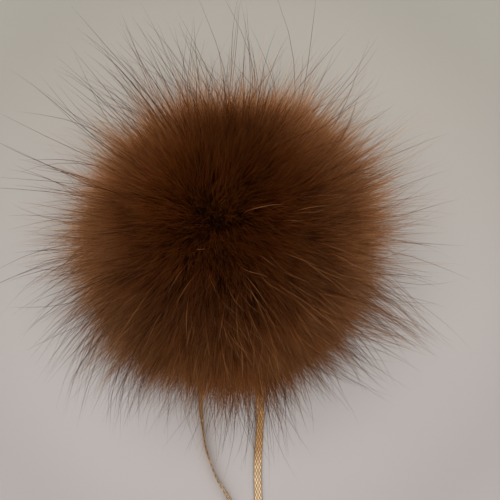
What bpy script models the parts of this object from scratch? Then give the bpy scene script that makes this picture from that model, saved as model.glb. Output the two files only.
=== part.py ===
"""Fur pom pom that sits on its sewn base, with two flat ribbon ties laid out in front of it.

The origin is the middle of the flat base, +Z is up, and the ties run out along -Y.
The coat is one solid: a packed core of underfur whose surface parts into tapered locks,
each ending in a whisker of guard hair. The ties are a flat ribbon each.
"""

import math
import random

import bmesh
import bpy
from mathutils import Vector, noise

MM = 0.001
SEED = 4

# The packed core, and the flat base that it sits on
CORE_RADIUS = 43.0 * MM
CORE_HEIGHT = 39.5 * MM
CORE_MIDDLE = Vector((0.0, 0.0, CORE_HEIGHT))
CORE_CUTS = 3
CORE_LUMP = 1.6 * MM
LUMP_WAVES = 28.0
BASE_ANGLE = math.radians(38.0)

# The locks: how deep the coat is, and how far the whiskers reach from the core
COAT_DEPTH = 15.0 * MM
SHORTEST_REACH = 23.0 * MM
LONGEST_REACH = 45.0 * MM
REACH_SPREAD = 0.8
LONG_SIDE = Vector((-0.42, 0.82, 0.25)).normalized()
LONG_SIDE_EXTRA = 5.0 * MM
LONG_SIDE_FOCUS = 3

# Rows of a lock below its whisker: how far out, in coat depths, and the share of its cell that it fills
LOCK_SECTIONS = (
    {"depth": 0.42, "fill": 0.84},
    {"depth": 0.90, "fill": 0.52},
    {"depth": 1.35, "fill": 0.20},
)
WHISKER_FILL = 0.065
WHISKER_MIDDLE = 0.5
WHISKER_SHARE = 0.2

# How the locks lean by the end of the coat
CROWN = Vector((-0.15, 0.16, 0.975)).normalized()
CROWN_LEAN = 4.0 * MM
SWAY = 3.4 * MM
SWAY_WAVES = 22.0
CURL = 0.9 * MM
DROOP = 0.9 * MM
LEAN_POWER = 1.6

# Locks that point down end at the floor: how far past it they may aim, and how softly they ease onto it
FLOOR_PRESS = 3.5 * MM
FLOOR_SOFTNESS = 3.0 * MM
LOCK_FLOOR_GAP = 0.15 * MM

# The ties
TIE_WIDTH = 3.2 * MM
TIE_THICKNESS = 0.8 * MM
TIE_STEP = 3.2 * MM
TIE_BEVEL_STEPS = 2
TIE_FLOOR_GAP = 0.02 * MM
TIE_CLEARANCE = 0.5 * MM
TIE_SHOULDER_START = 3.5 * MM
TIE_SHOULDER_END = 10.0 * MM

# Routes on the floor from the base outwards, in mm, with the ribbon's roll in degrees: 0 is flat, 90 on edge
RIGHT_ROUTE = (
    {"x": 3.2, "y": -20.9, "roll": 0},
    {"x": 4.3, "y": -31.0, "roll": 0},
    {"x": 6.4, "y": -42.0, "roll": 0},
    {"x": 9.2, "y": -53.0, "roll": 6},
    {"x": 10.6, "y": -64.0, "roll": 16},
    {"x": 10.3, "y": -75.0, "roll": 22},
    {"x": 9.7, "y": -86.0, "roll": 8},
    {"x": 9.9, "y": -102.0, "roll": 0},
    {"x": 11.6, "y": -118.0, "roll": 0},
    {"x": 15.0, "y": -136.0, "roll": 0},
    {"x": 17.2, "y": -148.0, "roll": 0},
)
LEFT_ROUTE = (
    {"x": -3.2, "y": -22.85, "roll": 0},
    {"x": -4.9, "y": -32.0, "roll": 0},
    {"x": -8.0, "y": -42.0, "roll": 0},
    {"x": -11.4, "y": -53.0, "roll": 12},
    {"x": -12.6, "y": -63.0, "roll": 62},
    {"x": -11.9, "y": -72.0, "roll": 80},
    {"x": -10.4, "y": -82.0, "roll": 100},
    {"x": -6.6, "y": -92.0, "roll": 84},
    {"x": -1.0, "y": -102.0, "roll": 66},
    {"x": 2.0, "y": -113.0, "roll": 20},
    {"x": 1.4, "y": -126.0, "roll": 0},
    {"x": -2.4, "y": -143.0, "roll": 0},
)

# Colours, as linear RGB, and how matt each finish is
FUR_BROWN = (0.105, 0.038, 0.013, 1.0)
FUR_ROUGHNESS = 0.75
RIBBON_GOLD = (0.56, 0.36, 0.17, 1.0)
RIBBON_ROUGHNESS = 0.35


def clear_scene():
    for item in list(bpy.data.objects):
        bpy.data.objects.remove(item, do_unlink=True)


def make_material(name, colour, roughness):
    material = bpy.data.materials.new(name)
    material.use_nodes = True
    shader = material.node_tree.nodes["Principled BSDF"]
    shader.inputs["Base Color"].default_value = colour
    shader.inputs["Roughness"].default_value = roughness
    shader.inputs["Metallic"].default_value = 0.0
    return material


def soft_step(value, low, high):
    """0 up to low, 1 from high on, and smooth between them."""
    share = min(1.0, max(0.0, (value - low) / (high - low)))
    return share * share * (3.0 - 2.0 * share)


def soft_floor(height, level):
    """The height, eased so that it comes down onto the level and never goes below it."""
    over = height - level
    return level + (over + math.hypot(over, FLOOR_SOFTNESS)) / 2


def curve_weights(t):
    """How much each of four points in a row counts, a share t of the way between the middle two."""
    return (
        -0.5 * t**3 + t**2 - 0.5 * t,
        1.5 * t**3 - 2.5 * t**2 + 1.0,
        -1.5 * t**3 + 2.0 * t**2 + 0.5 * t,
        0.5 * t**3 - 0.5 * t**2,
    )


def smooth_route(route):
    """The route as one smooth curve: its place on the floor and its roll, every TIE_STEP or so."""
    points = [Vector((row["x"], row["y"], 0.0)) * MM for row in route]
    rolls = [math.radians(row["roll"]) for row in route]
    last = len(route) - 1
    line = []
    for i in range(last):
        corners = (max(i - 1, 0), i, i + 1, min(i + 2, last))
        steps = max(2, round((points[i + 1] - points[i]).length / TIE_STEP))
        for k in range(steps):
            weights = curve_weights(k / steps)
            place = sum((points[c] * w for c, w in zip(corners, weights)), Vector())
            roll = sum(rolls[c] * w for c, w in zip(corners, weights))
            line.append((place, roll))
    line.append((points[last], rolls[last]))
    return line


def half_height(roll):
    """How far the ribbon reaches above and below its middle when it is rolled."""
    flat_half = (TIE_WIDTH - TIE_THICKNESS) / 2
    return flat_half * abs(math.sin(roll)) + TIE_THICKNESS / 2


def tie_cover(x, y, lines):
    """The height that the fur keeps to at this place, so that it lies over the ties."""
    height = 0.0
    for line in lines:
        for place, roll in line:
            away = math.hypot(x - place.x, y - place.y)
            top = TIE_FLOOR_GAP + 2 * half_height(roll) + TIE_CLEARANCE
            near = 1.0 - soft_step(away, TIE_SHOULDER_START, TIE_SHOULDER_END)
            height = max(height, top * near)
    return height


def make_tie(name, line, material, collection):
    curve = bpy.data.curves.new(name, "CURVE")
    curve.dimensions = "3D"
    curve.twist_mode = "Z_UP"
    curve.extrude = (TIE_WIDTH - TIE_THICKNESS) / 2
    curve.bevel_depth = TIE_THICKNESS / 2
    curve.bevel_resolution = TIE_BEVEL_STEPS
    curve.use_fill_caps = True
    spline = curve.splines.new("POLY")
    spline.points.add(len(line) - 1)
    for point, (place, roll) in zip(spline.points, line):
        point.co = (place.x, place.y, TIE_FLOOR_GAP + half_height(roll), 1.0)
        point.tilt = roll + math.pi / 2
    curve.materials.append(material)
    tie = bpy.data.objects.new(name, curve)
    collection.objects.link(tie)
    return tie


def along_surface(vector, outward):
    """The part of a vector that runs along the ball's surface."""
    return vector - outward * vector.dot(outward)


def shape_core(mesh):
    """Gives the ball its lumps, sets it at its height and presses its base flat on the floor."""
    base_depth = math.cos(BASE_ANGLE)
    for vert in mesh.verts:
        outward = vert.co.normalized()
        lump = noise.noise(vert.co * LUMP_WAVES) * CORE_LUMP
        vert.co = CORE_MIDDLE + outward * (CORE_RADIUS + lump)
        if -outward.z > base_depth:
            vert.co.z = 0.0


def comb(outward, curl):
    """How a lock leans by the end of the coat: away from the crown, like its neighbours, and by itself."""
    away = along_surface(-CROWN, outward)
    # away is the sine of the angle from the crown, so this leans most at 45 degrees
    lean = away * 2.0 * CROWN_LEAN * max(0.0, outward.dot(CROWN))
    sway = noise.noise_vector(outward * CORE_RADIUS * SWAY_WAVES) * SWAY
    return lean + along_surface(sway + curl, outward)


def lock_reach(root, outward, chance):
    """How far a lock reaches from its root: longest on one side, and under the ball only to the floor."""
    reach = SHORTEST_REACH + (LONGEST_REACH - SHORTEST_REACH) * chance**REACH_SPREAD
    reach += LONG_SIDE_EXTRA * max(0.0, outward.dot(LONG_SIDE)) ** LONG_SIDE_FOCUS
    if outward.z < 0.0:
        reach = min(reach, (root.z + FLOOR_PRESS) / -outward.z)
    return reach


def lock_rows(reach):
    """The lock's sections, each as its distance from the root and the share of the cell that it fills."""
    full_depth = LOCK_SECTIONS[-1]["depth"] * COAT_DEPTH
    shorter = min(1.0, reach * (1.0 - WHISKER_SHARE) / full_depth)
    rows = [(row["depth"] * COAT_DEPTH * shorter, row["fill"]) for row in LOCK_SECTIONS]
    last = rows[-1][0]
    rows.append((last + WHISKER_MIDDLE * (reach - last), WHISKER_FILL))
    return rows


def lock_middle(root, outward, lean, distance):
    """A point on the lock's middle line: straight out, then leaning and drooping."""
    share = (distance / COAT_DEPTH) ** LEAN_POWER
    point = root + outward * distance + lean * share
    point.z -= DROOP * share * (1.0 - abs(outward.z))
    return point


def eased(point, lines):
    """The point, lifted off the floor and over the ties."""
    level = LOCK_FLOOR_GAP + tie_cover(point.x, point.y, lines)
    return Vector((point.x, point.y, soft_floor(point.z, level)))


def grow_lock(mesh, face, chance, lines):
    root = face.calc_center_median()
    outward = (root - CORE_MIDDLE).normalized()
    corners = [vert.co - root for vert in face.verts]
    reach = lock_reach(root, outward, chance.random())
    lean = comb(outward, Vector(chance.gauss(0.0, CURL) for _ in range(3)))
    before = root
    for distance, fill in lock_rows(reach):
        width = fill * (CORE_RADIUS + distance) / CORE_RADIUS
        middle = lock_middle(root, outward, lean, distance)
        turn = outward.rotation_difference(middle - before)
        face = bmesh.ops.extrude_discrete_faces(mesh, faces=[face])["faces"][0]
        for vert, corner in zip(face.verts, corners):
            vert.co = eased(middle + turn @ (corner * width), lines)
        before = middle
    tip = bmesh.ops.poke(mesh, faces=[face])["verts"][0]
    tip.co = eased(lock_middle(root, outward, lean, reach), lines)


def make_coat(name, lines, material, collection):
    chance = random.Random(SEED)
    noise.seed_set(SEED)
    mesh = bmesh.new()
    bmesh.ops.create_icosphere(mesh, subdivisions=CORE_CUTS, radius=CORE_RADIUS)
    shape_core(mesh)
    rooted = [face for face in mesh.faces if all(vert.co.z > 0.0 for vert in face.verts)]
    for face in rooted:
        grow_lock(mesh, face, chance, lines)
    data = bpy.data.meshes.new(name)
    mesh.to_mesh(data)
    mesh.free()
    data.materials.append(material)
    coat = bpy.data.objects.new(name, data)
    collection.objects.link(coat)
    print(name, len(rooted), "locks")
    return coat


def main():
    clear_scene()
    collection = bpy.data.collections.new("fur_pom_pom")
    bpy.context.scene.collection.children.link(collection)
    fur = make_material("fur", FUR_BROWN, FUR_ROUGHNESS)
    ribbon = make_material("ribbon", RIBBON_GOLD, RIBBON_ROUGHNESS)
    right_line = smooth_route(RIGHT_ROUTE)
    left_line = smooth_route(LEFT_ROUTE)
    make_tie("tie_right", right_line, ribbon, collection)
    make_tie("tie_left", left_line, ribbon, collection)
    make_coat("fur_coat", (right_line, left_line), fur, collection)


main()
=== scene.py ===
# %% [markdown]
# # A fur pom pom with two ribbon ties
# The real thing is a round of long-haired pelt, gathered round itself into a ball. It has two kinds of
# hair: a dense, soft underfur, and a thin coat of long guard hair that stands out of it. Two flat
# braided ribbons come out from under the ball. This lesson dresses the plain model of that ball with
# real strands, which Geometry Nodes grow over it layer by layer, and braids the ribbons as meshes.

import math

import bmesh
import bpy
import numpy as np
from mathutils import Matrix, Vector, noise


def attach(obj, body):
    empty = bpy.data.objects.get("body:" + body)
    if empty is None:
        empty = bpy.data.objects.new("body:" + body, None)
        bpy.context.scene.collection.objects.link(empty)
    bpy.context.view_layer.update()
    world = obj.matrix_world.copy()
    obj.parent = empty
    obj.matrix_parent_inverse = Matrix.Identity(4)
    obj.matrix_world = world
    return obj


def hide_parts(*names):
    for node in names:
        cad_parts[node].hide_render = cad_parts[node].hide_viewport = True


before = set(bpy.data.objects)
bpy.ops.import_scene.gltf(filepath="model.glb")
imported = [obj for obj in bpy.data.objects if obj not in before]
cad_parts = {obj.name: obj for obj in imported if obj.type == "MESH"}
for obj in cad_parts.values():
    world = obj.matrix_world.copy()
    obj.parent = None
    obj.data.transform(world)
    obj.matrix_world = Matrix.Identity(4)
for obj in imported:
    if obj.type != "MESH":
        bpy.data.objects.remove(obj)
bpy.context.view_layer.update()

MM = 0.001
scene = bpy.context.scene

# %% [markdown]
# ## Nodes as sums
# Both the strands and the finishes are worked out by nodes. A wall of code that wires each Math node
# by hand is hard to read, so a small class wraps a node's output and lets Python's own signs add the
# nodes: `tip * 0.5 + 1` makes two Math nodes. Vectors and colours go through Vector Math instead,
# because a Math node would turn them into one number.

# %% Wires and nodes
VECTOR_SOCKETS = ("VECTOR", "RGBA")
NUMBER_RESULTS = ("DOT_PRODUCT", "LENGTH", "DISTANCE")


def is_vector(value):
    if isinstance(value, Wire):
        return value.socket.type in VECTOR_SOCKETS
    return isinstance(value, (tuple, Vector))


def set_stops(ramp_node, stops):
    """The stops of a colour ramp, as (place, colour) pairs."""
    elements = ramp_node.color_ramp.elements
    while len(elements) < len(stops):
        elements.new(1.0)
    for element, (place, colour) in zip(elements, stops):
        element.position = place
        element.color = colour


def add_node(tree, kind, settings=None, inputs=None):
    """Any node. Its settings are set first, and then its inputs get their values or links."""
    node = tree.nodes.new(kind)
    for name, value in (settings or {}).items():
        if name == "stops":
            set_stops(node, value)
        else:
            setattr(node, name, value)
    for key, value in (inputs or {}).items():
        if isinstance(value, Wire):
            tree.links.new(value.socket, node.inputs[key])
        else:
            node.inputs[key].default_value = value
    return node


class Wire:
    """A node's output that takes part in sums."""

    def __init__(self, tree, node, output=0):
        self.tree = tree
        self.socket = node.outputs[output]

    def sum(self, operation, *others, swapped=False):
        values = [*others, self] if swapped else [self, *others]
        settings = {"operation": operation}
        if any(is_vector(value) for value in values):
            if operation == "MULTIPLY" and not all(is_vector(value) for value in values):
                values.sort(key=is_vector, reverse=True)
                settings["operation"] = "SCALE"
                inputs = {0: values[0], "Scale": values[1]}
            else:
                inputs = dict(enumerate(values))
            node = add_node(self.tree, "ShaderNodeVectorMath", settings, inputs)
            return Wire(self.tree, node, 1 if operation in NUMBER_RESULTS else 0)
        node = add_node(self.tree, "ShaderNodeMath", settings, dict(enumerate(values)))
        return Wire(self.tree, node)

    def __add__(self, other):
        return self.sum("ADD", other)

    def __radd__(self, other):
        return self.sum("ADD", other, swapped=True)

    def __sub__(self, other):
        return self.sum("SUBTRACT", other)

    def __rsub__(self, other):
        return self.sum("SUBTRACT", other, swapped=True)

    def __mul__(self, other):
        return self.sum("MULTIPLY", other)

    def __rmul__(self, other):
        return self.sum("MULTIPLY", other, swapped=True)

    def __truediv__(self, other):
        return self.sum("DIVIDE", other)

    def __rtruediv__(self, other):
        return self.sum("DIVIDE", other, swapped=True)

    def __pow__(self, other):
        return self.sum("POWER", other)


def highest(wire, other):
    return wire.sum("MAXIMUM", other)


def lowest(wire, other):
    return wire.sum("MINIMUM", other)


def part_of(vector, axis):
    """One coordinate of a vector: 0 for X, 1 for Y, 2 for Z."""
    return Wire(vector.tree, add_node(vector.tree, "ShaderNodeSeparateXYZ", inputs={0: vector}), axis)


def as_vector(tree, x, y, z):
    return Wire(tree, add_node(tree, "ShaderNodeCombineXYZ", inputs={0: x, 1: y, 2: z}))


def smooth_share(wire, low, high):
    """0 up to low, 1 from high on, and smooth between them."""
    inputs = {0: wire, 1: low, 2: high, 3: 0.0, 4: 1.0}
    node = add_node(wire.tree, "ShaderNodeMapRange", {"interpolation_type": "SMOOTHSTEP"}, inputs)
    return Wire(wire.tree, node)


def noise_of(vector, scale, detail=2.0, colours=False):
    """Noise from 0 to 1 at a place: one number, or three as a colour."""
    inputs = {"Vector": vector, "Scale": scale, "Detail": detail}
    node = add_node(vector.tree, "ShaderNodeTexNoise", None, inputs)
    return Wire(vector.tree, node, 1 if colours else 0)


print("wires ready")

# %% [markdown]
# ## The camera
# The photograph looks straight down at the ball, which sits on its gathered base. Half a metre and a
# little more away is where a hand holds a telephone over a table. The long lens then shows the 182 mm
# that the photograph is wide at the ball's middle. The ties lie on the floor, so they come next.

# %% The camera, straight above
BALL_MIDDLE = Vector((0.0, 0.0, 39.5 * MM))
CAMERA_ABOVE = 550.0 * MM
VIEW_WIDTH = 182.5 * MM
SENSOR = 36.0
VIEW_MIDDLE = (6.6 * MM, -3.65 * MM)

lens = bpy.data.cameras.new("camera")
lens.sensor_width = SENSOR
lens.lens = SENSOR * CAMERA_ABOVE / VIEW_WIDTH
lens.clip_start = 0.01
lens.clip_end = 10.0
camera = bpy.data.objects.new("camera", lens)
camera.location = (*VIEW_MIDDLE, BALL_MIDDLE.z + CAMERA_ABOVE)
scene.collection.objects.link(camera)
scene.camera = camera
scene.view_settings.view_transform = "Standard"
print("lens", round(lens.lens, 1), "mm")

# %% [markdown]
# ## Where the ties run
# Each tie is a flat braid, 3.2 mm wide, that comes out from under the ball, crosses the table in a loose
# curve and ends cut off square. The right one lies nearly flat. The left one rolls up onto its edge as
# it passes the fur and lies down again further out. The table gives a few places with the roll there,
# and a smooth curve runs through them.

# %% The ties' routes
TIE_WIDTH = 3.2 * MM
TIE_THICKNESS = 0.8 * MM
TIE_FLOOR_GAP = 0.02 * MM
TIE_ROW = 0.25 * MM

# Places on the table in mm, with the roll in degrees: 0 is flat, 90 on edge
RIGHT_ROUTE = (
    {"x": 3.2, "y": -20.9, "roll": 0},
    {"x": 4.3, "y": -31.0, "roll": 0},
    {"x": 6.4, "y": -42.0, "roll": 0},
    {"x": 9.2, "y": -53.0, "roll": 6},
    {"x": 10.6, "y": -64.0, "roll": 16},
    {"x": 10.3, "y": -75.0, "roll": 22},
    {"x": 9.7, "y": -86.0, "roll": 8},
    {"x": 9.9, "y": -102.0, "roll": 0},
    {"x": 11.6, "y": -118.0, "roll": 0},
    {"x": 15.0, "y": -136.0, "roll": 0},
    {"x": 17.2, "y": -148.0, "roll": 0},
)
LEFT_ROUTE = (
    {"x": -3.2, "y": -22.85, "roll": 0},
    {"x": -4.9, "y": -32.0, "roll": 0},
    {"x": -8.0, "y": -42.0, "roll": 0},
    {"x": -11.4, "y": -53.0, "roll": 12},
    {"x": -12.6, "y": -63.0, "roll": 62},
    {"x": -11.9, "y": -72.0, "roll": 80},
    {"x": -10.4, "y": -82.0, "roll": 100},
    {"x": -6.6, "y": -92.0, "roll": 84},
    {"x": -1.0, "y": -102.0, "roll": 66},
    {"x": 2.0, "y": -113.0, "roll": 20},
    {"x": 1.4, "y": -126.0, "roll": 0},
    {"x": -2.4, "y": -143.0, "roll": 0},
)


def curve_weights(t):
    """How much each of four points in a row counts, a share t of the way between the middle two."""
    return (
        -0.5 * t**3 + t**2 - 0.5 * t,
        1.5 * t**3 - 2.5 * t**2 + 1.0,
        -1.5 * t**3 + 2.0 * t**2 + 0.5 * t,
        0.5 * t**3 - 0.5 * t**2,
    )


def half_height(roll):
    """How far the ribbon reaches above and below its middle when it is rolled."""
    flat_half = (TIE_WIDTH - TIE_THICKNESS) / 2
    return flat_half * abs(math.sin(roll)) + TIE_THICKNESS / 2


def smooth_route(route):
    """The route as one smooth curve: its middle and its roll, every TIE_ROW or so."""
    points = [Vector((row["x"], row["y"], 0.0)) * MM for row in route]
    rolls = [math.radians(row["roll"]) for row in route]
    last = len(route) - 1
    line = []
    for i in range(last):
        corners = (max(i - 1, 0), i, i + 1, min(i + 2, last))
        steps = round((points[i + 1] - points[i]).length / TIE_ROW)
        for k in range(steps + (i == last - 1)):
            weights = curve_weights(k / steps)
            place = sum((points[c] * w for c, w in zip(corners, weights)), Vector())
            roll = sum(rolls[c] * w for c, w in zip(corners, weights))
            place.z = TIE_FLOOR_GAP + half_height(roll)
            line.append((place, roll))
    return line


tie_lines = {"right": smooth_route(RIGHT_ROUTE), "left": smooth_route(LEFT_ROUTE)}
for side, line in tie_lines.items():
    print(side, "tie", len(line), "places")

# %% [markdown]
# ## The braid
# A flat braid is a few soft threads that cross each other on the slant, over one and under the next. A
# picture of that pattern would look painted on, so the ribbon is a closed mesh whose surface really
# rises where a thread is on top. Two families of steep, narrow bands give the height. Which of the two
# lies on top changes from cell to cell, as on a chessboard, and each cell is twice as long as wide.

# %% The ribbon's section and its relief
BRAID_PITCH = 2.4 * MM
BRAID_SLANT = 1.5
BRAID_RELIEF = 0.27 * MM
EDGE_ROUND = 0.45
ACROSS_STEPS = 19
TOP_WIDTH = 0.93
EDGE_PLACES = ((0.975, 0.62), (1.0, 0.0), (0.975, -0.62))


def section_places():
    """One ring round the ribbon, as (place across from -1 to 1, height from -1 to 1) pairs."""
    top = [(float(a), 1.0) for a in np.linspace(TOP_WIDTH, -TOP_WIDTH, ACROSS_STEPS)]
    left_edge = [(-a, h) for a, h in EDGE_PLACES]
    bottom = [(-a, -1.0) for a, _ in top]
    right_edge = [(a, h) for a, h in reversed(EDGE_PLACES)]
    return np.array(top + left_edge + bottom + right_edge)


def braid_height(across, along):
    """From 0 between the threads to 1 on the crown of the thread that lies on top."""
    one = along / BRAID_PITCH + across * BRAID_SLANT
    other = along / BRAID_PITCH - across * BRAID_SLANT
    round_one = np.sin(np.pi * (one % 1.0))
    round_other = np.sin(np.pi * (other % 1.0))
    one_on_top = (np.floor(one) + np.floor(other)) % 2 < 1
    thread = np.where(one_on_top, round_one, round_other)
    length_of_it = np.where(one_on_top, round_other, round_one)
    return np.sqrt(thread) * (0.45 + 0.55 * length_of_it)


print("section of", len(section_places()), "places")

# %% [markdown]
# The ring is swept along the route. At each place the ribbon's flat side turns by the roll, which is
# how a real ribbon goes onto its edge without a fold. The ends are closed, so the mesh is a solid.

# %% Sweep the braid along a route


def sweep_braid(name, line):
    middles = np.array([place for place, _ in line])
    rolls = np.array([roll for _, roll in line])[:, None]
    steps = np.gradient(middles, axis=0)
    ahead = steps / np.linalg.norm(steps, axis=1, keepdims=True)
    flat_side = np.cross(ahead, (0.0, 0.0, 1.0))
    flat_side /= np.linalg.norm(flat_side, axis=1, keepdims=True)
    face_up = np.cross(flat_side, ahead)
    side = flat_side * np.cos(rolls) + face_up * np.sin(rolls)
    face = face_up * np.cos(rolls) - flat_side * np.sin(rolls)

    walked = np.concatenate([[0.0], np.cumsum(np.linalg.norm(np.diff(middles, axis=0), axis=1))])
    ring = section_places()
    across, height = ring[None, :, 0], ring[None, :, 1]
    rise = braid_height(across + 0 * walked[:, None], walked[:, None] * np.sign(height + 0.5))
    thick = TIE_THICKNESS / 2 - BRAID_RELIEF * (1.0 - rise)
    thick = thick * (1.0 - EDGE_ROUND * np.abs(across) ** 4)
    wide = TIE_WIDTH / 2 * (1.0 - 0.03 * (1.0 - rise))
    places = (
        middles[:, None, :]
        + side[:, None, :] * (across * wide)[:, :, None]
        + face[:, None, :] * (height * thick)[:, :, None]
    )

    rings, round_it = places.shape[:2]
    at = np.arange(rings * round_it).reshape(rings, round_it)
    here, there = at[:-1], at[1:]
    quads = np.stack([here, np.roll(here, -1, 1), np.roll(there, -1, 1), there], 2).reshape(-1, 4)
    faces = quads.tolist() + [at[0][::-1].tolist(), at[-1].tolist()]
    mesh = bpy.data.meshes.new(name)
    mesh.from_pydata(places.reshape(-1, 3).tolist(), [], faces)
    for label, values in (
        ("across", np.broadcast_to(across, (rings, round_it))),
        ("along", np.broadcast_to(walked[:, None], (rings, round_it))),
        ("rise", rise),
    ):
        layer = mesh.attributes.new(label, "FLOAT", "POINT")
        layer.data.foreach_set("value", np.ascontiguousarray(values, np.float32).ravel())
    mesh.shade_smooth()
    tie = bpy.data.objects.new(name, mesh)
    scene.collection.objects.link(tie)
    fix = bmesh.new()
    fix.from_mesh(mesh)
    bmesh.ops.recalc_face_normals(fix, faces=fix.faces)
    fix.to_mesh(mesh)
    fix.free()
    print(name, round(walked[-1] / MM, 1), "mm long,", len(mesh.polygons), "faces")
    return tie, float(walked[-1])


ties = {side: sweep_braid(f"ribbon_{side}", line) for side, line in tie_lines.items()}

# %% [markdown]
# ## The gathered ball under the fur
# Below the strands is the pelt's own skin side with its shortest wool: a ball, pressed flat where it sits,
# with the gathers of its seam running up from there. It is seen only as darkness between the strands and
# from below, so a rounded mesh with small lumps is enough.

# %% The ball
BALL_RADIUS = 42.4 * MM
BALL_CUTS = 6
LUMP = 1.4 * MM
LUMP_WAVES = 28.0
GATHERS = 16
GATHER_DEPTH = 0.9 * MM
GATHER_PLACE = 0.80
GATHER_REACH = 0.25


def gather_share(outward):
    """How strong the gathers are: from the flat base up to the ball's lower side."""
    down = -outward.z
    return max(0.0, 1.0 - abs(down - GATHER_PLACE) / GATHER_REACH)


def make_ball():
    mesh = bmesh.new()
    bmesh.ops.create_icosphere(mesh, subdivisions=BALL_CUTS, radius=BALL_RADIUS)
    for vert in mesh.verts:
        outward = vert.co.normalized()
        turn = math.atan2(outward.y, outward.x)
        lump = noise.noise(vert.co * LUMP_WAVES) * LUMP
        gather = math.cos(turn * GATHERS) * gather_share(outward) * GATHER_DEPTH
        vert.co = BALL_MIDDLE + outward * (BALL_RADIUS + lump + gather)
        vert.co.z = max(0.0, vert.co.z)
    data = bpy.data.meshes.new("gathered_ball")
    mesh.to_mesh(data)
    mesh.free()
    data.shade_smooth()
    ball = bpy.data.objects.new("gathered_ball", data)
    scene.collection.objects.link(ball)
    return ball


gathered_ball = make_ball()
print("ball", len(gathered_ball.data.polygons), "faces")

# %% [markdown]
# ## Strands from Geometry Nodes
# Fur is the same thing many thousand times over: a thin strand with a root, a bend and a fine tip. One
# node tree grows them all. It scatters roots over a ball, puts a small three-sided spike on each, makes
# the spikes real and then moves every point of them to its place: out from the root, leaning away from
# the crown, drawn towards the middle of its tuft, and eased onto the table and over the ribbons.
#
# Each layer of the coat is the same tree with other inputs.

# %% What a layer of strands is given
CROWN = Vector((-0.28, 0.33, 0.90)).normalized()
# Where the coat falls back, or swells if negative: the way there, how wide, and what share of the length
HOLLOWS = (
    ((-0.02, 0.98, 0.18), 0.95, 0.40),
    ((-0.34, 0.93, 0.15), 0.86, 0.12),
    ((0.64, -0.76, 0.12), 0.80, 0.22),
    ((0.97, 0.20, 0.10), 0.84, -0.20),
    ((0.72, 0.67, 0.15), 0.88, -0.12),
    ((-0.30, -0.95, 0.10), 0.90, 0.22),
)
BASE_DOWN = -0.80
STRAND_SIDES = 3
SHORTEST_HAIR = 2.0 * MM
FLOOR_GAP = 0.15 * MM
FLOOR_PRESS = 2.5 * MM
FLOOR_SOFTNESS = 1.8 * MM
TIE_SHOULDER = (2.2 * MM, 8.0 * MM)
CROWN_EDGE = (0.55, 0.98)
TUFT_SEED = 50
FULL_TURN = 6.28
# The noises that vary the coat have few waves over the ball, and many from tuft to tuft
LENGTH_WAVES = 2.6
SWAY_WAVES = 2.2
TONE_WAVES = 3.6
TUFT_LENGTH_WAVES = 230.0
TUFT_TONE_WAVES = 160.0

STRAND_INPUTS = (
    ("Density", "NodeSocketFloat"),
    ("Crown Share", "NodeSocketFloat"),
    ("Seed", "NodeSocketInt"),
    ("Sections", "NodeSocketInt"),
    ("Shortest", "NodeSocketFloat"),
    ("Longest", "NodeSocketFloat"),
    ("Spread", "NodeSocketFloat"),
    ("Unevenness", "NodeSocketFloat"),
    ("Long Side", "NodeSocketVector"),
    ("Extra", "NodeSocketFloat"),
    ("Width", "NodeSocketFloat"),
    ("Lay", "NodeSocketFloat"),
    ("Sink", "NodeSocketFloat"),
    ("Bend", "NodeSocketFloat"),
    ("Sway", "NodeSocketFloat"),
    ("Curl", "NodeSocketFloat"),
    ("Comb", "NodeSocketVector"),
    ("Tufts", "NodeSocketFloat"),
    ("Gather", "NodeSocketFloat"),
    ("One Tuft", "NodeSocketFloat"),
    ("Tuft Spread", "NodeSocketFloat"),
    ("Wave", "NodeSocketFloat"),
    ("Toward", "NodeSocketVector"),
    ("Focus", "NodeSocketFloat"),
    ("Ribbons", "NodeSocketObject"),
    ("Material", "NodeSocketMaterial"),
)
STORED = {
    "root": "FLOAT_VECTOR",
    "outward": "FLOAT_VECTOR",
    "lean": "FLOAT_VECTOR",
    "pull": "FLOAT_VECTOR",
    "side": "FLOAT_VECTOR",
    "reach": "FLOAT",
    "phase": "FLOAT",
}


def new_tree(name, sockets):
    tree = bpy.data.node_groups.new(name, "GeometryNodeTree")
    tree.interface.new_socket("Geometry", in_out="INPUT", socket_type="NodeSocketGeometry")
    for label, kind in sockets:
        tree.interface.new_socket(label, in_out="INPUT", socket_type=kind)
    tree.interface.new_socket("Geometry", in_out="OUTPUT", socket_type="NodeSocketGeometry")
    return tree


def store(geometry, name, value):
    """The geometry with a value kept on each of its points."""
    kind = "FLOAT_VECTOR" if is_vector(value) else "FLOAT"
    inputs = {"Geometry": geometry, "Name": name, "Value": value}
    node = add_node(geometry.tree, "GeometryNodeStoreNamedAttribute", {"data_type": kind}, inputs)
    return Wire(geometry.tree, node, "Geometry")


def stored(tree, name, kind):
    node = add_node(tree, "GeometryNodeInputNamedAttribute", {"data_type": kind}, {"Name": name})
    return Wire(tree, node, "Attribute")


def random_number(seed, step):
    """A number from 0 to 1 for each strand. Another step gives other numbers."""
    inputs = {2: 0.0, 3: 1.0, "Seed": seed + step}
    settings = {"data_type": "FLOAT"}
    return Wire(seed.tree, add_node(seed.tree, "FunctionNodeRandomValue", settings, inputs), 1)


def random_vector(seed, step):
    """A vector with parts from -1 to 1 for each strand."""
    inputs = {0: (-1.0, -1.0, -1.0), 1: (1.0, 1.0, 1.0), "Seed": seed + step}
    settings = {"data_type": "FLOAT_VECTOR"}
    return Wire(seed.tree, add_node(seed.tree, "FunctionNodeRandomValue", settings, inputs), 0)


def along_surface(vector, outward):
    return vector - outward * vector.sum("DOT_PRODUCT", outward)


print(len(STRAND_INPUTS), "inputs")

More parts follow.
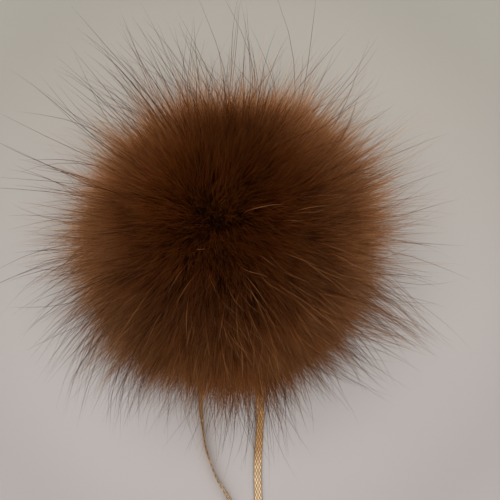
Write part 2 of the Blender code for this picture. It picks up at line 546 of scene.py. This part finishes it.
# %% [markdown]
# The roots come first. A strand's length is drawn between the shortest and the longest, grows a little
# on the side where the pelt is long, and is cut short under the ball, where the table is. A short list
# says where the coat falls back or swells, because the real ball isn't quite round. The lean is the comb
# of the fur: away from the crown, swaying with its neighbours, curling a little by itself, and swept to
# one side where a layer asks for it. Tufts come from a second, sparse scatter of points: each strand is
# drawn to the nearest of them. A layer that is a single lock is drawn to one tuft instead.

# %% Scatter the roots and settle how each strand grows


def scatter(surface, density, seed):
    inputs = {"Mesh": surface, "Density": density, "Seed": seed}
    node = add_node(surface.tree, "GeometryNodeDistributePointsOnFaces", None, inputs)
    return Wire(surface.tree, node, "Points")


def nearest_on(geometry, place, element):
    """The nearest place on some geometry, and how far away it is."""
    tree = geometry.tree
    inputs = {0: geometry, "Source Position": place}
    node = add_node(tree, "GeometryNodeProximity", {"target_element": element}, inputs)
    return Wire(tree, node, "Position"), Wire(tree, node, "Distance")


def rooted_points(tree, given, surface):
    seed = given["Seed"]
    place = Wire(tree, add_node(tree, "GeometryNodeInputPosition"))
    outward = (place - BALL_MIDDLE).sum("NORMALIZE")
    facing = highest(outward.sum("DOT_PRODUCT", given["Toward"]), 0.0) ** given["Focus"]
    above_base = part_of(outward, 2).sum("GREATER_THAN", BASE_DOWN)
    at_crown = smooth_share(outward.sum("DOT_PRODUCT", CROWN), *CROWN_EDGE)
    left_there = 1.0 - at_crown * (1.0 - given["Crown Share"])
    roots = scatter(surface, given["Density"] * facing * above_base * left_there, seed)
    tufts = scatter(surface, given["Tufts"], seed + TUFT_SEED)
    tuft, off_tuft = nearest_on(tufts, place, "POINTS")
    only_tuft = given["Toward"] * BALL_RADIUS + BALL_MIDDLE
    tuft = tuft + (only_tuft - tuft) * given["One Tuft"]

    chance = random_number(seed, 1) ** given["Spread"]
    reach = given["Shortest"] + (given["Longest"] - given["Shortest"]) * chance
    uneven = noise_of(outward, LENGTH_WAVES, 1.0) * 2.0 - 1.0
    long_side = outward.sum("DOT_PRODUCT", given["Long Side"]) * given["Extra"]
    tuft_length = (noise_of(tuft, TUFT_LENGTH_WAVES, 0.0) - 0.5) * given["Tuft Spread"] * 2.0
    uneven = uneven * given["Unevenness"] + tuft_length + 1.0
    for way, edge, depth in HOLLOWS:
        facing_it = outward.sum("DOT_PRODUCT", Vector(way).normalized())
        uneven = uneven - smooth_share(facing_it, edge, 1.0) * depth
    reach = highest(reach * uneven + long_side, SHORTEST_HAIR)
    down = highest(part_of(outward, 2) * -1.0, 0.02)
    reach = lowest(reach, (part_of(place, 2) + FLOOR_PRESS) / down)

    away = along_surface(outward * 0.0 - CROWN, outward)
    opening = lowest(away.sum("LENGTH") * 3.5, 1.0)
    facing_crown = highest(outward.sum("DOT_PRODUCT", CROWN), 0.0) ** 0.6
    combed = away.sum("NORMALIZE") * (given["Lay"] * opening * facing_crown)
    sway = (noise_of(outward, SWAY_WAVES, 2.0, colours=True) - (0.5, 0.5, 0.5)) * (given["Sway"] * 2.0)
    curl = random_vector(seed, 2) * given["Curl"]
    lean = combed + along_surface(sway + curl + given["Comb"], outward)
    pull = (tuft - place) * (given["Gather"] * (reach / BALL_RADIUS + 1.0))
    side = random_vector(seed, 3).sum("CROSS_PRODUCT", outward * reach + lean).sum("NORMALIZE")
    swathe = noise_of(outward, TONE_WAVES, 2.0) * 2.0 + noise_of(tuft, TUFT_TONE_WAVES, 1.0) * 0.7 - 1.2
    # A tone for each strand and its tuft, and painted shade: strands are darker the further they stand from
    # the middle of their tuft, in the partings between tufts.
    tone = random_number(seed, 4) * 0.2 + swathe - off_tuft * 45.0 + 0.55
    kept = {
        "root": place, "outward": outward, "lean": lean, "pull": pull, "side": side, "reach": reach,
        "phase": random_number(seed, 5) * FULL_TURN, "tone": tone,
    }
    for name, value in kept.items():
        roots = store(roots, name, value)
    return roots


# %% [markdown]
# Then every root gets the same spike, one metre tall, whose height is read as the share of the way from
# root to tip. Moving its points is all that shapes the strand. The rings lie across the strand's mean
# direction. The last step keeps strands off the table and lifts them over the ribbons.

# %% Shape the strands and build the tree


def spikes_on(roots, sections):
    tree = roots.tree
    shape = {
        "Vertices": STRAND_SIDES, "Side Segments": sections, "Fill Segments": 1,
        "Radius Top": 0.0, "Radius Bottom": 1.0, "Depth": 1.0,
    }
    spike = add_node(tree, "GeometryNodeMeshCone", {"fill_type": "NGON"}, shape)
    inputs = {"Points": roots, "Instance": Wire(tree, spike, "Mesh")}
    many = add_node(tree, "GeometryNodeInstanceOnPoints", None, inputs)
    real = add_node(tree, "GeometryNodeRealizeInstances", None, {"Geometry": Wire(tree, many)})
    return Wire(tree, real)


def table_eased(place, ribbons):
    """The place, eased onto the table from above and over the ribbons that lie there."""
    tree = place.tree
    on_table = as_vector(tree, part_of(place, 0), part_of(place, 1), 0.0)
    ribbon, distance = nearest_on(ribbons, on_table, "EDGES")
    beside = 1.0 - smooth_share(distance, *TIE_SHOULDER)
    level = part_of(ribbon, 2) * beside + FLOOR_GAP
    over = part_of(place, 2) - level
    eased = (over + (over * over + FLOOR_SOFTNESS**2).sum("SQRT")) * 0.5 + level
    return as_vector(tree, part_of(place, 0), part_of(place, 1), eased)


def strand_tree():
    tree = new_tree("grow_strands", STRAND_INPUTS)
    start = add_node(tree, "NodeGroupInput")
    given = {label: Wire(tree, start, label) for label, _ in STRAND_INPUTS}
    roots = rooted_points(tree, given, Wire(tree, start, "Geometry"))
    spikes = spikes_on(roots, given["Sections"])

    kept = {name: stored(tree, name, kind) for name, kind in STORED.items()}
    local = Wire(tree, add_node(tree, "GeometryNodeInputPosition")) - kept["root"]
    share = part_of(local, 2)
    out = kept["outward"] * (kept["reach"] * share * (1.0 - share * given["Sink"]))
    wave = kept["side"] * ((share * 6.0 + kept["phase"]).sum("SINE") * share * given["Wave"])
    bent = kept["lean"] * share ** given["Bend"] + kept["pull"] * share**1.5 + wave
    middle = kept["root"] + out + bent
    direction = (kept["outward"] * kept["reach"] + kept["lean"]).sum("NORMALIZE")
    other_side = direction.sum("CROSS_PRODUCT", kept["side"])
    half_width = given["Width"] * 0.5 * (share * 2.0 + 1.0)
    ring = kept["side"] * (part_of(local, 0) * half_width) + other_side * (part_of(local, 1) * half_width)
    info = add_node(tree, "GeometryNodeObjectInfo", None, {"Object": given["Ribbons"]})
    place = table_eased(middle + ring, Wire(tree, info, "Geometry"))

    shaped = store(spikes, "share", share)
    shaped = add_node(tree, "GeometryNodeSetPosition", None, {"Geometry": shaped, "Position": place})
    smooth = add_node(tree, "GeometryNodeSetShadeSmooth", None, {"Geometry": Wire(tree, shaped)})
    inputs = {"Geometry": Wire(tree, smooth), "Material": given["Material"]}
    dressed = add_node(tree, "GeometryNodeSetMaterial", None, inputs)
    add_node(tree, "NodeGroupOutput", None, {0: Wire(tree, dressed)})
    return tree


grow_strands = strand_tree()
print(len(grow_strands.nodes), "nodes")

# %% [markdown]
# ## The finishes
# Fur is darkest where it is deep. On the real ball the roots are nearly black brown, the middle of each
# hair is chestnut and the tip is bleached to a soft tan. The tips are also painted paler still, as light
# that shines through thin hair at the rim. Guard hair runs the other way: tan where it stands in the coat,
# and dark outside. The crown, where the hair stands straight up, is the darkest place of all, because the
# eye looks down between the strands there. That is painted shade, which darkens each strand's colour near
# the crown. Each strand reads its own share of the way from root to tip, and a tone that it shares with its
# tuft, with painted shade on strands that stand off the middle of their tuft. The side away from the ties
# is painted lighter and paler, as light falling on it. Two broad patches of the coat are darkened with
# painted shade, the upper one where the coat is parted and deep.

# %% Materials for the strands


def new_material(name):
    material = bpy.data.materials.new(name)
    material.use_nodes = True
    material.node_tree.nodes.clear()
    return material, material.node_tree


def close_material(tree, constants, varying):
    """One Principled BSDF with what is the same all over, and what is linked because it varies."""
    shader = add_node(tree, "ShaderNodeBsdfPrincipled", None, {**constants, **varying})
    out = add_node(tree, "ShaderNodeOutputMaterial")
    tree.links.new(shader.outputs["BSDF"], out.inputs["Surface"])


def attribute_of(tree, name):
    return Wire(tree, add_node(tree, "ShaderNodeAttribute", {"attribute_name": name}), "Fac")


def blend(tree, share, one, other):
    """A colour between two others."""
    inputs = {0: share, 6: one, 7: other}
    return Wire(tree, add_node(tree, "ShaderNodeMix", {"data_type": "RGBA"}, inputs), 2)


def ramp(wire, stops):
    stops = [(place, (*colour, 1.0)) for place, colour in stops]
    return Wire(wire.tree, add_node(wire.tree, "ShaderNodeValToRGB", {"stops": stops}, {0: wire}))


# Painted shade at the crown, where the eye looks down between the strands: its colours, its middle and its
# reach.
PAINTED_CROWN_SHADES = ((0.0, (1.0, 1.0, 1.0)), (0.5, (0.60, 0.50, 0.42)), (1.0, (0.22, 0.115, 0.05)))
CROWN_CALM = 0.55
# Painted shade in two broad patches of the coat, the upper one where the coat is parted and deep: the way
# there, how wide, how dark.
PAINTED_SHADE_PATCHES = (((0.02, 0.62, 0.78), 0.86, 0.32), ((-0.56, -0.50, 0.66), 0.86, 0.24))
CROWN_SHADE_WAY = Vector((-0.06, 0.30, 0.955)).normalized()
CROWN_SHADE_EDGE = (-0.05, 0.98)
# Painted light: the side away from the ties is lighter and paler, as if more light fell on it.
LIT_SIDE = Vector((-0.10, 0.99, 0.0)).normalized()
LIT_SIDE_LIFT = (0.54, 0.68, 0.82)


def strand_finish(name, stops, spread, crown_shade_share, constants):
    """Fur whose colour runs from root to tip, with a tone for each strand, painted shade at the crown and
    in two broad patches, and painted light on the side away from the ties.
    """
    material, tree = new_material(name)
    share = attribute_of(tree, "share")
    tone = attribute_of(tree, "tone")
    place = Wire(tree, add_node(tree, "ShaderNodeTexCoord"), "Object")
    outward = (place - BALL_MIDDLE).sum("NORMALIZE")
    # Painted shade: each strand's colour is darkened near the crown.
    crown = smooth_share(outward.sum("DOT_PRODUCT", CROWN_SHADE_WAY), *CROWN_SHADE_EDGE) * crown_shade_share
    shade = ramp(crown, PAINTED_CROWN_SHADES)
    # Painted light on the side away from the ties.
    pale = outward.sum("DOT_PRODUCT", LIT_SIDE) * LIT_SIDE_LIFT + (1.0, 1.0, 1.0)
    own_tone_and_patch_shade = 1.0 + (tone - 0.5) * spread * (1.0 - crown * CROWN_CALM)
    # Painted shade in the two broad patches.
    for way, edge, depth in PAINTED_SHADE_PATCHES:
        facing_it = outward.sum("DOT_PRODUCT", Vector(way).normalized())
        own_tone_and_patch_shade = own_tone_and_patch_shade * (1.0 - smooth_share(facing_it, edge, 1.0) * depth)
    colour = ramp(share, stops) * shade * pale * own_tone_and_patch_shade
    close_material(tree, constants, {"Base Color": colour})
    return material


# The tips are bleached tan, and their colour is painted paler still, as light that shines through thin hair
# at the rim.
UNDERFUR = strand_finish(
    "fur underfur",
    (
        (0.0, (0.17, 0.045, 0.010)), (0.4, (0.34, 0.098, 0.023)), (0.75, (0.64, 0.322, 0.142)),
        (1.0, (0.66, 0.47, 0.32)),
    ),
    0.65, 1.0, {"Roughness": 0.9, "Specular IOR Level": 0.0},
)
GUARD = strand_finish(
    "fur guard hair",
    (
        (0.0, (0.16, 0.042, 0.009)), (0.45, (0.36, 0.14, 0.045)), (0.62, (0.17, 0.078, 0.034)),
        (1.0, (0.090, 0.055, 0.033)),
    ),
    0.6, 1.0, {"Roughness": 0.5, "Specular IOR Level": 0.03},
)
DARK_GUARD = strand_finish(
    "fur dark guard hair",
    (
        (0.0, (0.14, 0.036, 0.008)), (0.35, (0.22, 0.075, 0.022)), (0.55, (0.080, 0.036, 0.017)),
        (1.0, (0.055, 0.036, 0.024)),
    ),
    0.6, 1.0, {"Roughness": 0.5, "Specular IOR Level": 0.03},
)
FINE = strand_finish(
    "fur fine hair",
    ((0.0, (0.16, 0.042, 0.009)), (0.5, (0.44, 0.20, 0.080)), (1.0, (0.42, 0.28, 0.18))),
    0.5, 1.0, {"Roughness": 0.7, "Specular IOR Level": 0.0},
)
PALE = strand_finish(
    "fur pale hair",
    (
        (0.0, (0.12, 0.036, 0.010)), (0.4, (0.42, 0.15, 0.047)), (0.6, (0.68, 0.34, 0.150)),
        (1.0, (0.78, 0.48, 0.27)),
    ),
    0.4, 0.55, {"Roughness": 0.6, "Specular IOR Level": 0.05},
)
print("strand finishes ready")

# %% [markdown]
# The ball under the strands takes the colour of their roots, felted by a fine noise. The ribbon is gold
# satin: a warm base with some metallic gleam, fine threads that run along each braided strand, and a
# darker tone along both edges. Its colour holds painted shade in the grooves where one strand dives under
# the next, and a little between the fine threads. It also has patches painted brighter as glints and
# darker as shade. Where it leaves the fur it is painted a deep amber, as shade, and it is a pale gold
# further out, so the painted shade follows the length that the sweep has stored.

# %% Materials for the ball and the ribbons


def felt_finish():
    material, tree = new_material("fur felted roots")
    place = Wire(tree, add_node(tree, "ShaderNodeTexCoord"), "Object")
    grain = noise_of(place, 900.0, 3.0)
    patches = noise_of(place, 60.0, 2.0)
    colour = ramp(patches * 0.6 + grain * 0.4, ((0.3, (0.008, 0.004, 0.002)), (0.7, (0.035, 0.014, 0.006))))
    bump = add_node(tree, "ShaderNodeBump", None, {"Strength": 0.6, "Distance": 0.0006, "Height": grain})
    constants = {"Roughness": 0.9, "Specular IOR Level": 0.0}
    close_material(tree, constants, {"Base Color": colour, "Normal": Wire(tree, bump)})
    return material


# Painted shade: dark in the braid's grooves, light on the crowns of its threads.
GOLD_AND_GROOVE_SHADE = ((0.0, (0.08, 0.036, 0.012)), (0.5, (0.52, 0.32, 0.15)), (1.0, (1.0, 0.82, 0.60)))
# Painted shade: a deep amber where the ribbon leaves the fur, and how far it reaches.
FUR_SHADE_AMBER = (0.74, 0.56, 0.36)
FUR_SHADE_REACH = (58.0 * MM, 72.0 * MM)
DARK_EDGE = (0.55, 0.92)


def ribbon_finish():
    material, tree = new_material("ribbon gold satin")
    across = attribute_of(tree, "across")
    along = attribute_of(tree, "along")
    rise = attribute_of(tree, "rise")
    threads = ((along * (1 / BRAID_PITCH) + across * BRAID_SLANT) * 44.0).sum("SINE") * 0.5 + 0.5
    place = Wire(tree, add_node(tree, "ShaderNodeTexCoord"), "Object")
    # Patches painted brighter as glints and darker as shade; the same noise varies the gloss.
    glints_shade_and_gloss = noise_of(place, 240.0, 3.0)
    groove_shade = ramp(rise, GOLD_AND_GROOVE_SHADE)
    # Painted shade of a deep amber near the fur.
    fur_shade = 1.0 - smooth_share(along, *FUR_SHADE_REACH)
    fur_shade_tint = blend(tree, fur_shade, (1.0, 1.0, 1.0, 1.0), (*FUR_SHADE_AMBER, 1.0))
    edge = smooth_share(across * across, *DARK_EDGE)
    # Painted shade in the grooves, a little between the fine threads, and near the fur.
    colour = groove_shade * fur_shade_tint * (0.56 + glints_shade_and_gloss * 0.95 + threads * 0.12) * (1.0 - edge * 0.5)
    rough = 0.14 + glints_shade_and_gloss * 0.22
    bump = add_node(tree, "ShaderNodeBump", None, {"Strength": 0.5, "Distance": 0.00006, "Height": threads})
    constants = {"Metallic": 0.6, "Sheen Weight": 0.15}
    varying = {"Base Color": colour, "Roughness": rough, "Normal": Wire(tree, bump)}
    close_material(tree, constants, varying)
    return material


gathered_ball.data.materials.append(felt_finish())
ribbon_gold = ribbon_finish()
for tie, _ in ties.values():
    tie.data.materials.append(ribbon_gold)
print("ball and ribbons dressed")

# %% [markdown]
# ## The coat, layer by layer
# A furrier reads a pelt as layers, and so does this table. The underfur is short, dense and soft, and
# its layers give the ball its body, with a fuller place at the upper right. The guard hair is long, thin
# and sparse, and gathers in loose points: longest and swept to the left at the upper left, swept down at
# the lower left, waved at the lower right, and fine and tan all round. Long pale hairs lie on the side
# towards the ties. At the lower right one lock, pressed in a bag, draws together and fans out again.
# Lengths are in mm from the skin.

# %% The layers of strands
# Where a layer is dense: the way there, and how narrowly it keeps to it
ANY_WAY = ((0.0, 0.0, 1.0), 0.0)
UPPER_LEFT = ((-0.56, 0.77, 0.30), 3.2)
LOWER_RIGHT = ((0.47, -0.86, 0.16), 4.6)
LOWER_LEFT = ((-0.80, -0.58, 0.16), 6.0)
UPPER_RIGHT = ((0.44, 0.88, 0.18), 6.0)
TOP_LOCK = ((-0.34, 0.87, 0.36), 22.0)
LOW_SIDE = ((0.22, -0.80, 0.56), 3.6)
CURLY_SPOT = ((0.87, -0.46, 0.15), 40.0)
LONG_UNDERFUR = (-0.58, -0.79, 0.18)
LONG_GUARD = (-0.45, 0.85, 0.27)
GROWN_AREA = 0.0209

UNDER = {
    "count": 18500, "crown": 1.0, "sections": 2, "shortest": 5.0, "longest": 20.5, "spread": 0.9,
    "uneven": 0.32, "long side": LONG_UNDERFUR, "extra": 4.8, "width": 0.14, "lay": 4.6,
    "sink": 0.10, "bend": 1.6, "sway": 7.0, "curl": 2.6, "comb": (0.0, 0.0, 0.0), "tufts": 300,
    "gather": 0.28, "one tuft": 0.0, "tuft spread": 0.28, "wave": 0.0, "way": ANY_WAY,
    "finish": UNDERFUR,
}
LONG = {
    "count": 440, "crown": 0.3, "sections": 6, "shortest": 16.0, "longest": 46.0, "spread": 1.1,
    "uneven": 0.10, "long side": LONG_GUARD, "extra": 2.0, "width": 0.17, "lay": 8.0, "sink": 0.03,
    "bend": 1.9, "sway": 13.0, "curl": 9.0, "comb": (0.0, 0.0, 0.0), "tufts": 90, "gather": 0.46,
    "one tuft": 0.0, "tuft spread": 0.2, "wave": 1.1, "way": ANY_WAY, "finish": GUARD,
}
LAYERS = {
    "underfur_deep": {
        **UNDER, "seed": 11, "count": 45000, "sections": 1, "shortest": 5.0, "longest": 15.0,
        "gather": 0.12,
    },
    "underfur_middle": {**UNDER, "seed": 12, "count": 45000, "sections": 1, "width": 0.12},
    "underfur_soft": {
        **UNDER, "seed": 19, "longest": 24.0, "spread": 1.3, "width": 0.13, "tufts": 260,
    },
    "underfur_tips": {
        **UNDER, "seed": 13, "shortest": 8.0, "longest": 35.0, "spread": 1.8, "extra": 4.2,
        "width": 0.11, "curl": 4.0, "tufts": 180, "gather": 0.42, "tuft spread": 0.3, "finish": FINE,
    },
    "underfur_bulge": {
        **UNDER, "seed": 20, "count": 36000, "shortest": 8.0, "longest": 27.0, "width": 0.12,
        "way": UPPER_RIGHT,
    },
    "guard_hair": {**LONG, "seed": 14},
    "guard_hair_fine": {
        **LONG, "seed": 21, "count": 2700, "sections": 4, "shortest": 15.0, "longest": 37.0,
        "spread": 1.4, "width": 0.10, "tufts": 140, "gather": 0.5, "wave": 0.8, "finish": FINE,
    },
    "guard_hair_low": {
        **LONG, "seed": 22, "count": 4200, "shortest": 24.0, "longest": 52.0, "spread": 1.3,
        "width": 0.15, "curl": 10.0, "gather": 0.5, "wave": 1.6, "way": LOWER_RIGHT,
    },
    "guard_hair_left": {
        **LONG, "seed": 24, "count": 5000, "sections": 4, "shortest": 20.0, "longest": 45.0,
        "spread": 1.4, "width": 0.14, "curl": 7.0, "comb": (4.0, -9.0, 0.0), "gather": 0.5,
        "way": LOWER_LEFT,
    },
    "guard_hair_long": {
        **LONG, "seed": 15, "count": 1150, "shortest": 28.0, "longest": 63.0, "width": 0.18,
        "comb": (-9.0, 2.0, 1.0), "way": UPPER_LEFT, "finish": DARK_GUARD,
    },
    "top_lock": {
        **LONG, "seed": 23, "count": 2300, "crown": 1.0, "shortest": 18.0, "longest": 64.0,
        "spread": 1.4, "curl": 5.0, "comb": (-13.0, 0.0, 0.0), "gather": 0.34, "one tuft": 0.4,
        "width": 0.15, "way": TOP_LOCK,
    },
    "pale_hair": {
        **LONG, "seed": 16, "count": 2700, "crown": 1.0, "shortest": 16.0, "longest": 38.0,
        "width": 0.18, "lay": 10.0, "curl": 7.0, "gather": 0.15, "wave": 0.6, "way": LOW_SIDE,
        "finish": PALE,
    },
    "pale_hair_round": {
        **LONG, "seed": 17, "count": 160, "crown": 0.0, "longest": 44.0, "width": 0.13, "curl": 6.0,
        "gather": 0.2, "finish": PALE,
    },
    "curling_lock": {
        **LONG, "seed": 18, "count": 5400, "sections": 8, "shortest": 38.0, "longest": 52.0,
        "lay": 4.0, "sway": 4.0, "curl": 4.0, "gather": 0.8, "one tuft": 1.0, "wave": 2.0,
        "width": 0.16, "way": CURLY_SPOT, "finish": FINE,
    },
}
print(len(LAYERS), "layers")

# %% [markdown]
# A modifier's inputs are set by their identifiers, because two inputs may share a name. The evaluated
# result is kept as a plain mesh, with only the two values that the finish reads.

# %% Grow every layer


def ribbon_paths():
    """Lines on the table under both ribbons. Their height is the ribbon's upper edge."""
    places, edges = [], []
    for line in tie_lines.values():
        first = len(places)
        for place, roll in line[::4]:
            places.append((place[0], place[1], 2.0 * half_height(roll) + TIE_FLOOR_GAP))
        edges += [(n, n + 1) for n in range(first, len(places) - 1)]
    mesh = bpy.data.meshes.new("ribbon_paths")
    mesh.from_pydata(places, edges, [])
    return bpy.data.objects.new("ribbon_paths", mesh)


def skin_mesh(name):
    mesh = bmesh.new()
    bmesh.ops.create_icosphere(mesh, subdivisions=5, radius=BALL_RADIUS)
    bmesh.ops.translate(mesh, vec=BALL_MIDDLE, verts=mesh.verts)
    data = bpy.data.meshes.new(name)
    mesh.to_mesh(data)
    mesh.free()
    return data


def tree_values(layer, ribbons):
    """What the tree's inputs get, in metres."""
    toward, focus = layer["way"]
    return {
        "Density": layer["count"] / GROWN_AREA, "Crown Share": layer["crown"], "Seed": layer["seed"],
        "Sections": layer["sections"], "Shortest": layer["shortest"] * MM,
        "Longest": layer["longest"] * MM, "Spread": layer["spread"], "Unevenness": layer["uneven"],
        "Long Side": Vector(layer["long side"]).normalized(), "Extra": layer["extra"] * MM,
        "Width": layer["width"] * MM, "Lay": layer["lay"] * MM, "Sink": layer["sink"],
        "Bend": layer["bend"], "Sway": layer["sway"] * MM, "Curl": layer["curl"] * MM,
        "Comb": Vector(layer["comb"]) * MM, "Tufts": layer["tufts"] / GROWN_AREA,
        "Gather": layer["gather"], "One Tuft": layer["one tuft"],
        "Tuft Spread": layer["tuft spread"], "Wave": layer["wave"] * MM,
        "Toward": Vector(toward).normalized(), "Focus": focus, "Ribbons": ribbons,
        "Material": layer["finish"],
    }


def grow(name, layer, ribbons):
    strands = bpy.data.objects.new(name, skin_mesh(name))
    scene.collection.objects.link(strands)
    growth = strands.modifiers.new("growth", "NODES")
    growth.node_group = grow_strands
    identifiers = {
        item.name: item.identifier for item in grow_strands.interface.items_tree if item.in_out == "INPUT"
    }
    for label, value in tree_values(layer, ribbons).items():
        growth[identifiers[label]] = value
    grown = strands.evaluated_get(bpy.context.evaluated_depsgraph_get())
    mesh = bpy.data.meshes.new_from_object(grown)
    strands.modifiers.remove(growth)
    strands.data = mesh
    for attribute in [a.name for a in mesh.attributes if a.name in STORED]:
        mesh.attributes.remove(mesh.attributes[attribute])
    faces = sum(len(polygon.vertices) - 2 for polygon in mesh.polygons)
    print(name, len(mesh.polygons), "faces,", faces, "triangles")
    return strands


ribbons_below = ribbon_paths()
scene.collection.objects.link(ribbons_below)
coat = [grow(name, layer, ribbons_below) for name, layer in LAYERS.items()]
bpy.data.objects.remove(ribbons_below)

# %% [markdown]
# ## Floor and light
# The photograph was taken in soft daylight on a pale table: hardly any shadow, and a bright rim all
# round the fur. Four large soft lights stand low round the ball, the upper left one the strongest, and a
# weak one hangs above. The table's colour is painted brighter round the ball, a painted light where the
# fur would otherwise shade it more than in the photograph. It is also painted brighter and cooler towards
# the ties, as daylight falling off across it.

# %% The floor and the lights
FLOOR_SIZE = 3.0
SOFT_LIGHTS = (
    # Turn round the ball, height as an angle, watts
    (135.0, 38.0, 7.1),
    (50.0, 38.0, 4.9),
    (-40.0, 38.0, 5.8),
    (-140.0, 38.0, 4.9),
    (90.0, 82.0, 2.4),
)
LIGHT_AWAY = 1.3
LIGHT_SIZE = 1.6
SKY = (1.0, 0.98, 0.95)
SKY_STRENGTH = 0.27
# Painted light round the ball, against the shade that the fur casts on the table.
PAINTED_LIGHT_MIDDLE = (0.003, -0.010, 0.0)
PAINTED_LIGHT_REACH = (0.07, 0.125)
PAINTED_LIGHT_STRENGTH = 0.28
# Painted daylight falling off across the table: brighter and cooler towards the ties.
DAYLIGHT_FALLOFF_REACH = (-0.11, 0.15)
TABLE_FAR_DIM = (0.432, 0.412, 0.364, 1.0)
TABLE_NEAR_LIT = (0.504, 0.470, 0.468, 1.0)


def make_floor():
    """A plain table top with painted light: brighter round the ball, against the fur's shade, and a little
    cooler and brighter on the side towards the ties, as daylight falling off across it.
    """
    half = FLOOR_SIZE / 2
    mesh = bpy.data.meshes.new("floor")
    corners = [(-half, -half, 0), (half, -half, 0), (half, half, 0), (-half, half, 0)]
    mesh.from_pydata(corners, [], [(0, 1, 2, 3)])
    floor = bpy.data.objects.new("floor", mesh)
    scene.collection.objects.link(floor)
    material, tree = new_material("pale table")
    place = Wire(tree, add_node(tree, "ShaderNodeTexCoord"), "Object")
    # Painted light: brighter and cooler towards the ties.
    near = 1.0 - smooth_share(part_of(place, 1), *DAYLIGHT_FALLOFF_REACH)
    colour = blend(tree, near, TABLE_FAR_DIM, TABLE_NEAR_LIT)
    # Painted light round the ball.
    painted_light = 1.0 - smooth_share(place.sum("DISTANCE", PAINTED_LIGHT_MIDDLE), *PAINTED_LIGHT_REACH)
    colour = colour * (noise_of(place, 12.0, 3.0) * 0.05 + 0.975) * (painted_light * PAINTED_LIGHT_STRENGTH + 1.0)
    close_material(tree, {"Roughness": 0.7, "Specular IOR Level": 0.2}, {"Base Color": colour})
    mesh.materials.append(material)
    return floor


def add_soft_light(turn, height, watts):
    data = bpy.data.lights.new("soft_light", "AREA")
    data.shape = "DISK"
    data.size = LIGHT_SIZE
    data.energy = watts
    data.color = SKY
    light = bpy.data.objects.new("soft_light", data)
    turn, height = math.radians(turn), math.radians(height)
    way = Vector((math.cos(turn) * math.cos(height), math.sin(turn) * math.cos(height), math.sin(height)))
    light.location = BALL_MIDDLE + way * LIGHT_AWAY
    light.rotation_euler = way.to_track_quat("Z", "Y").to_euler()
    scene.collection.objects.link(light)


floor = make_floor()
for turn, height, watts in SOFT_LIGHTS:
    add_soft_light(turn, height, watts)
scene.world = scene.world or bpy.data.worlds.new("sky")
scene.world.use_nodes = True
scene.world.node_tree.nodes.clear()
sky = add_node(
    scene.world.node_tree, "ShaderNodeBackground", None, {"Color": (*SKY, 1.0), "Strength": SKY_STRENGTH}
)
sky_out = add_node(scene.world.node_tree, "ShaderNodeOutputWorld")
scene.world.node_tree.links.new(sky.outputs[0], sky_out.inputs[0])
print(len(SOFT_LIGHTS), "lights")

# %% [markdown]
# ## Handing over to the frame
# Everything here rides on the one body. The ball and the strands take the place of the model's fur, and
# each ribbon that of its own solid. The ties are free cords: they leave from under the ball and end
# bare, cut off square.

# %% Ride and replace
for piece in (gathered_ball, *coat):
    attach(piece, "root")
    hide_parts("fur_coat")

for side, (tie, length) in ties.items():
    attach(tie, "root")
    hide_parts(f"tie_{side}")
